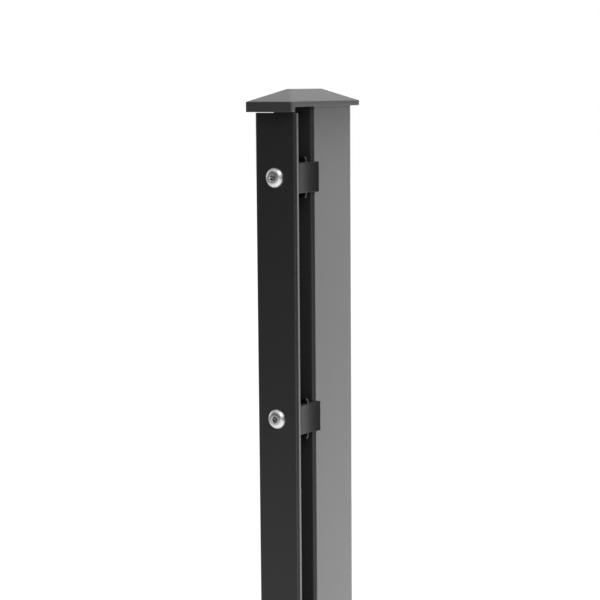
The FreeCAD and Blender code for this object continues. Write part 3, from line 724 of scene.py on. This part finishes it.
def build_floor():
    """A wide pale floor. It looks white to the camera, apart from the post's own shadow."""
    radius, count, drop, grey = 25.0, 64, 0.1 * MM, 0.72
    stage = bpy.context.scene.fence_stage
    mesh = bpy.data.meshes.new("floor")
    rim = [(radius * math.cos(TURN * k / count), radius * math.sin(TURN * k / count), 0.0) for k in range(count)]
    mesh.from_pydata(rim, [], [tuple(range(count))])
    floor = bpy.data.objects.new("floor", mesh)
    bpy.context.scene.collection.objects.link(floor)
    floor.location.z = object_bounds()[0].z - drop
    material, tree, principled = new_material("Pale floor", Roughness=0.9, Specular_IOR_Level=0.2)
    principled.inputs["Base Color"].default_value = (grey, grey, grey, 1.0)
    principled.inputs["Emission Color"].default_value = (1.0, 1.0, 1.0, 1.0)
    paths = tree.nodes.new("ShaderNodeLightPath").outputs
    spread = tree.nodes.new("ShaderNodeVectorMath")
    spread.operation = "LENGTH"
    tree.links.new(tree.nodes.new("ShaderNodeTexCoord").outputs["Object"], spread.inputs[0])
    # Glossy surfaces reflect the floor near the post. The camera sees it whiter the further it lies from the foot.
    reflected = add(tree, "ShaderNodeMapRange", From_Min=9.0, From_Max=2.0, To_Max=stage.shine)
    seen = add(tree, "ShaderNodeMapRange", From_Min=0.3, From_Max=2.4, To_Min=0.42, To_Max=0.98)
    for fade in (reflected, seen):
        fade.interpolation_type = "SMOOTHSTEP"
        tree.links.new(spread.outputs["Value"], fade.inputs["Value"])
    under_card = towards(tree, CARD_WAY, 1.0, 2.6, "Object")
    left_by_card = scale_range(tree, under_card, 1.0, stage.card_floor)
    lit = calculate(tree, "MULTIPLY", reflected.outputs[0], left_by_card)
    shine = calculate(tree, "MULTIPLY", paths["Is Glossy Ray"], lit)
    white = calculate(tree, "MULTIPLY_ADD", paths["Is Camera Ray"], seen.outputs[0], shine)
    tree.links.new(white, principled.inputs["Emission Strength"])
    mesh.materials.append(material)
    floor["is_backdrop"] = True


def build_room():
    """A white backdrop behind the post, a pale wall and ceiling, and a black card left of the camera.

    The camera itself sees all of it white.
    """
    stage = bpy.context.scene.fence_stage
    world = bpy.data.worlds.new("Studio")
    bpy.context.scene.world = world
    world.use_nodes = True
    tree = world.node_tree
    left_wall = calculate(tree, "MULTIPLY", towards(tree, LEFT_WALL_WAY, 0.65, 0.93), stage.left_wall)
    backdrop = calculate(tree, "MAXIMUM", towards(tree, BACKDROP_WAY, 0.35, 0.9), left_wall)
    card = towards(tree, CARD_WAY, 0.55, 0.9)
    walls = scale_range(tree, card, stage.side_room, stage.card)
    ceiling = calculate(tree, "MULTIPLY", towards(tree, CEILING_WAY, 0.35, 0.9), stage.ceiling)
    bright = calculate(tree, "MAXIMUM", backdrop, ceiling)
    room = calculate(tree, "MAXIMUM", walls, bright)
    paths = tree.nodes.new("ShaderNodeLightPath").outputs
    matt = calculate(tree, "MULTIPLY_ADD", backdrop, stage.room_light, walls)
    shiny = calculate(tree, "SUBTRACT", room, matt)
    level = calculate(tree, "MULTIPLY_ADD", shiny, paths["Is Glossy Ray"], matt)
    white = tree.nodes["Background"]
    white.inputs["Color"].default_value = (1.0, 1.0, 1.0, 1.0)
    tree.links.new(calculate(tree, "MAXIMUM", level, paths["Is Camera Ray"]), white.inputs["Strength"])


def place_camera():
    """Stand the camera where the photograph's was."""
    stage = bpy.context.scene.fence_stage
    round_about, down = stage.azimuth, stage.pitch
    away = Vector((math.sin(round_about), -math.cos(round_about), 0.0))
    up = Vector((0.0, 0.0, 1.0))
    ahead, right = -away, Vector((math.cos(round_about), math.sin(round_about), 0.0))
    ahead, right = (ahead * math.cos(stage.yaw) + right * math.sin(stage.yaw),
                    right * math.cos(stage.yaw) - ahead * math.sin(stage.yaw))
    ahead, up = ahead * math.cos(down) - up * math.sin(down), up * math.cos(down) + ahead * math.sin(down)
    right, up = (right * math.cos(stage.roll) + up * math.sin(stage.roll),
                 up * math.cos(stage.roll) - right * math.sin(stage.roll))
    camera = bpy.data.objects.new("camera", bpy.data.cameras.new("camera"))
    bpy.context.scene.collection.objects.link(camera)
    turned = Matrix((right, up, -ahead)).transposed().to_4x4()
    camera.matrix_world = Matrix.Translation(away * stage.distance + Vector((0.0, 0.0, stage.height))) @ turned
    camera.data.lens = stage.lens
    camera.data.sensor_width = SENSOR_WIDTH
    bpy.context.scene.camera = camera


class FENCE_OT_build_stage(bpy.types.Operator):
    """Set up the floor, the room, the lights and the camera"""

    bl_idname = "fence.build_stage"
    bl_label = "Build stage"

    def execute(self, context):
        stage = context.scene.fence_stage
        build_floor()
        build_room()
        for name, place, target_height, size, brightness in (
                ("back_panel", (0.6, 2.1, 0.66), 0.66, (2.4, 1.6), stage.back_light),
                ("front_panel", (1.5, -1.3, 3.0), 1.3, (1.8, 1.8), stage.front_light),
                ("fill_panel", (0.8, -1.45, 0.95), 1.3, (1.1, 0.9), stage.fill_light),
                ("top_panel", (1.5, 0.5, 3.2), 1.3, (1.6, 1.6), stage.top_light),
                ("sky_panel", (-0.8, 1.4, 2.7), 1.5, (1.6, 1.6), stage.sky_light)):
            add_panel_light(name, place, (0.0, 0.0, target_height), size, brightness)
        place_camera()
        context.scene.view_settings.view_transform = "Standard"
        return {"FINISHED"}


class FENCE_PT_panel(bpy.types.Panel):
    """Sidebar panel with the settings and the steps"""

    bl_idname = "FENCE_PT_panel"
    bl_label = "Fence Post"
    bl_space_type = "VIEW_3D"
    bl_region_type = "UI"
    bl_category = "Fence Post"

    def draw(self, context):
        for group_name in SETTINGS:
            group = getattr(context.scene, group_name)
            box = self.layout.box()
            box.label(text=group_name.removeprefix("fence_").capitalize())
            for name in type(group).__annotations__:
                box.prop(group, name)
        for operator in OPERATORS:
            self.layout.operator(operator.bl_idname)


OPERATORS = (FENCE_OT_coat_tube, FENCE_OT_coat_strip, FENCE_OT_mould_cap, FENCE_OT_mould_clips, FENCE_OT_turn_screws,
             FENCE_OT_set_nuts, FENCE_OT_build_stage)
SETTINGS = {"fence_coat": FENCE_PG_coat, "fence_plastic": FENCE_PG_plastic, "fence_fixings": FENCE_PG_fixings,
            "fence_stage": FENCE_PG_stage}


def register():
    """Make the settings, the steps and the panel known."""
    for item in (*SETTINGS.values(), *OPERATORS, FENCE_PT_panel):
        bpy.utils.register_class(item)
    for name, group in SETTINGS.items():
        setattr(bpy.types.Scene, name, PointerProperty(type=group))


def unregister():
    """Take back what register did."""
    for name in SETTINGS:
        delattr(bpy.types.Scene, name)
    for item in reversed((*SETTINGS.values(), *OPERATORS, FENCE_PT_panel)):
        bpy.utils.unregister_class(item)


def main():
    """Run every step in order."""
    register()
    bpy.ops.fence.coat_tube()
    bpy.ops.fence.coat_strip()
    bpy.ops.fence.mould_cap()
    bpy.ops.fence.mould_clips()
    bpy.ops.fence.turn_screws()
    bpy.ops.fence.set_nuts()
    bpy.ops.fence.build_stage()


if __name__ == "__main__":
    main()
